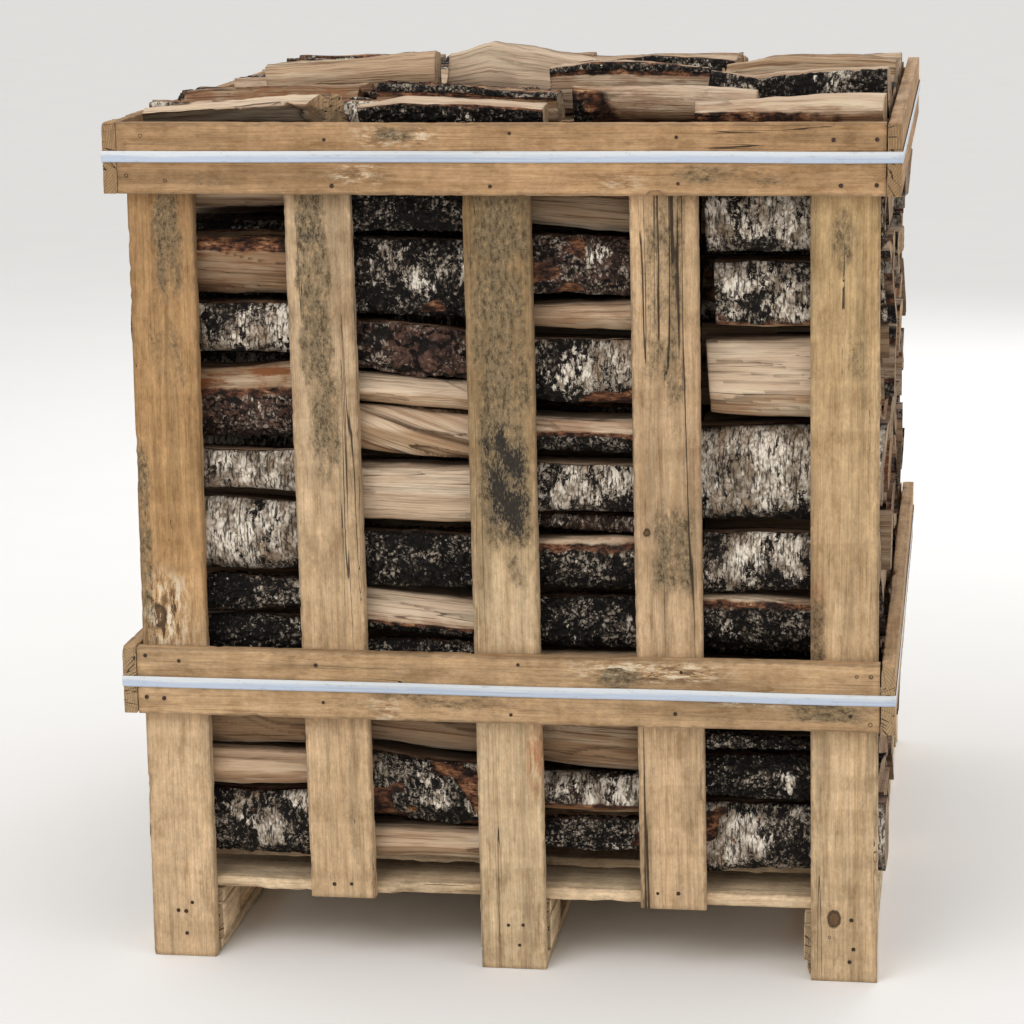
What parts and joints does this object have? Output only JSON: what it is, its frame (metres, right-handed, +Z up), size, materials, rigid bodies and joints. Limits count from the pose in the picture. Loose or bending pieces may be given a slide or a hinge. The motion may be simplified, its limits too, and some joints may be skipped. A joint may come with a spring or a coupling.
{
  "type": "slatted pallet crate filled with split birch firewood",
  "caption": "Rough-sawn slatted pallet crate packed with stacks of split birch firewood, with frame boards round it held by two flat plastic straps.",
  "frame": {"origin": "on the floor, in the middle of the crate's footprint", "axes": "+X to the right along the slatted front, +Y from the front to the back, +Z up; the front looks along -Y"},
  "size_m": [1.0422, 1.2022, 1.2243],
  "materials": {
    "crate_board": "rough-sawn softwood, tan, weathered, with grey and black mould, knots and cracks",
    "pallet_wood": "rough-sawn softwood, browner and dirtier than the slats",
    "birch_stack": "split birch: white and black bark, red-brown inner bark, pale fibrous split faces and sawn ends",
    "birch_log": "split birch: pale fibrous split faces, bark on the round side, sawn ends",
    "strap_plastic": "white polypropylene band, pale blue along the middle, slightly glossy",
    "nail_steel": "dark nail heads, slightly rusty"
  },
  "bodies": {
    "root": {"block_left_back": "pallet_wood", "block_left_front": "pallet_wood", "block_left_middle": "pallet_wood", "block_middle_back": "pallet_wood", "block_middle_front": "pallet_wood", "block_middle_middle": "pallet_wood", "block_right_back": "pallet_wood", "block_right_front": "pallet_wood", "block_right_middle": "pallet_wood", "deck_board_1": "pallet_wood", "deck_board_2": "pallet_wood", "deck_board_3": "pallet_wood", "deck_board_4": "pallet_wood", "deck_board_5": "pallet_wood", "deck_board_6": "pallet_wood", "deck_board_7": "pallet_wood", "deck_board_8": "pallet_wood", "deck_board_9": "pallet_wood", "log_stack_1": "birch_stack", "log_stack_2": "birch_stack", "log_stack_3": "birch_stack", "log_stack_4": "birch_stack", "lower_frame_back": "crate_board", "lower_frame_front": "crate_board", "lower_frame_left": "crate_board", "lower_frame_right": "crate_board", "skid_left": "pallet_wood", "skid_middle": "pallet_wood", "skid_right": "pallet_wood", "slat_back_1": "crate_board", "slat_back_2": "crate_board", "slat_back_3": "crate_board", "slat_back_4": "crate_board", "slat_back_5": "crate_board", "slat_front_1": "crate_board", "slat_front_2": "crate_board", "slat_front_3": "crate_board", "slat_front_4": "crate_board", "slat_front_5": "crate_board", "strap_lower": "strap_plastic", "strap_top": "strap_plastic", "stringer_left": "pallet_wood", "stringer_middle": "pallet_wood", "stringer_right": "pallet_wood", "top_frame_back": "crate_board", "top_frame_front": "crate_board", "top_frame_left": "crate_board", "top_frame_right": "crate_board", "top_log_01": "birch_log", "top_log_02": "birch_log", "top_log_03": "birch_log", "top_log_04": "birch_log", "top_log_05": "birch_log", "top_log_06": "birch_log", "top_log_07": "birch_log", "top_log_08": "birch_log", "top_log_09": "birch_log", "top_log_10": "birch_log", "top_log_11": "birch_log", "top_log_12": "birch_log"}
  },
  "joints": []
}
